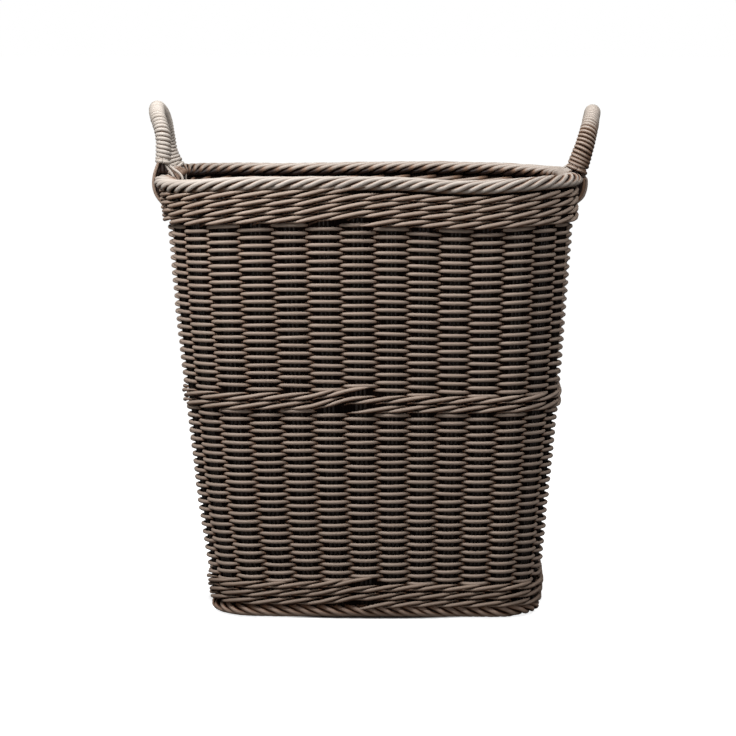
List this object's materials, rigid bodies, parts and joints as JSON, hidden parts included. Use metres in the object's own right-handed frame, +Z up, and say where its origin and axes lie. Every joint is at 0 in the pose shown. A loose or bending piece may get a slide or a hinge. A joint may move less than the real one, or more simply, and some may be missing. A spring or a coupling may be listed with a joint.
{
  "type": "woven basket",
  "caption": "Tall rounded rectangular basket woven of round synthetic cane, flaring upwards, with rolled rim and foot, heavy twisted bands and a wrapped loop handle at each end.",
  "frame": {"origin": "middle of the underside, on the surface that the basket stands on", "axes": "+Z up, +X to the basket's right, so that the handles are at both ends of X, +Y to the back"},
  "size_m": [0.4674, 0.3324, 0.5212],
  "materials": {
    "wall_cane": "satin",
    "stake_cane": "satin",
    "border_cane": "satin",
    "base_cane": "satin",
    "handle_cane": "satin"
  },
  "bodies": {
    "root": {"base_stick_1": "base_cane", "base_stick_2": "base_cane", "base_stick_3": "base_cane", "base_stick_4": "base_cane", "base_stick_5": "base_cane", "base_stick_6": "base_cane", "base_stick_7": "base_cane", "base_weave": "base_cane", "foot_border": "border_cane", "left_handle_core": "handle_cane", "left_handle_winding": "handle_cane", "lower_wale": "wall_cane", "lower_weave": "wall_cane", "middle_wale": "wall_cane", "right_handle_core": "handle_cane", "right_handle_winding": "handle_cane", "stake_01": "stake_cane", "stake_02": "stake_cane", "stake_03": "stake_cane", "stake_04": "stake_cane", "stake_05": "stake_cane", "stake_06": "stake_cane", "stake_07": "stake_cane", "stake_08": "stake_cane", "stake_09": "stake_cane", "stake_10": "stake_cane", "stake_11": "stake_cane", "stake_12": "stake_cane", "stake_13": "stake_cane", "stake_14": "stake_cane", "stake_15": "stake_cane", "stake_16": "stake_cane", "stake_17": "stake_cane", "stake_18": "stake_cane", "stake_19": "stake_cane", "stake_20": "stake_cane", "stake_21": "stake_cane", "stake_22": "stake_cane", "stake_23": "stake_cane", "stake_24": "stake_cane", "stake_25": "stake_cane", "stake_26": "stake_cane", "stake_27": "stake_cane", "stake_28": "stake_cane", "stake_29": "stake_cane", "stake_30": "stake_cane", "stake_31": "stake_cane", "stake_32": "stake_cane", "stake_33": "stake_cane", "stake_34": "stake_cane", "stake_35": "stake_cane", "stake_36": "stake_cane", "stake_37": "stake_cane", "stake_38": "stake_cane", "top_border": "border_cane", "upper_wale": "wall_cane", "upper_weave": "wall_cane"}
  },
  "joints": []
}
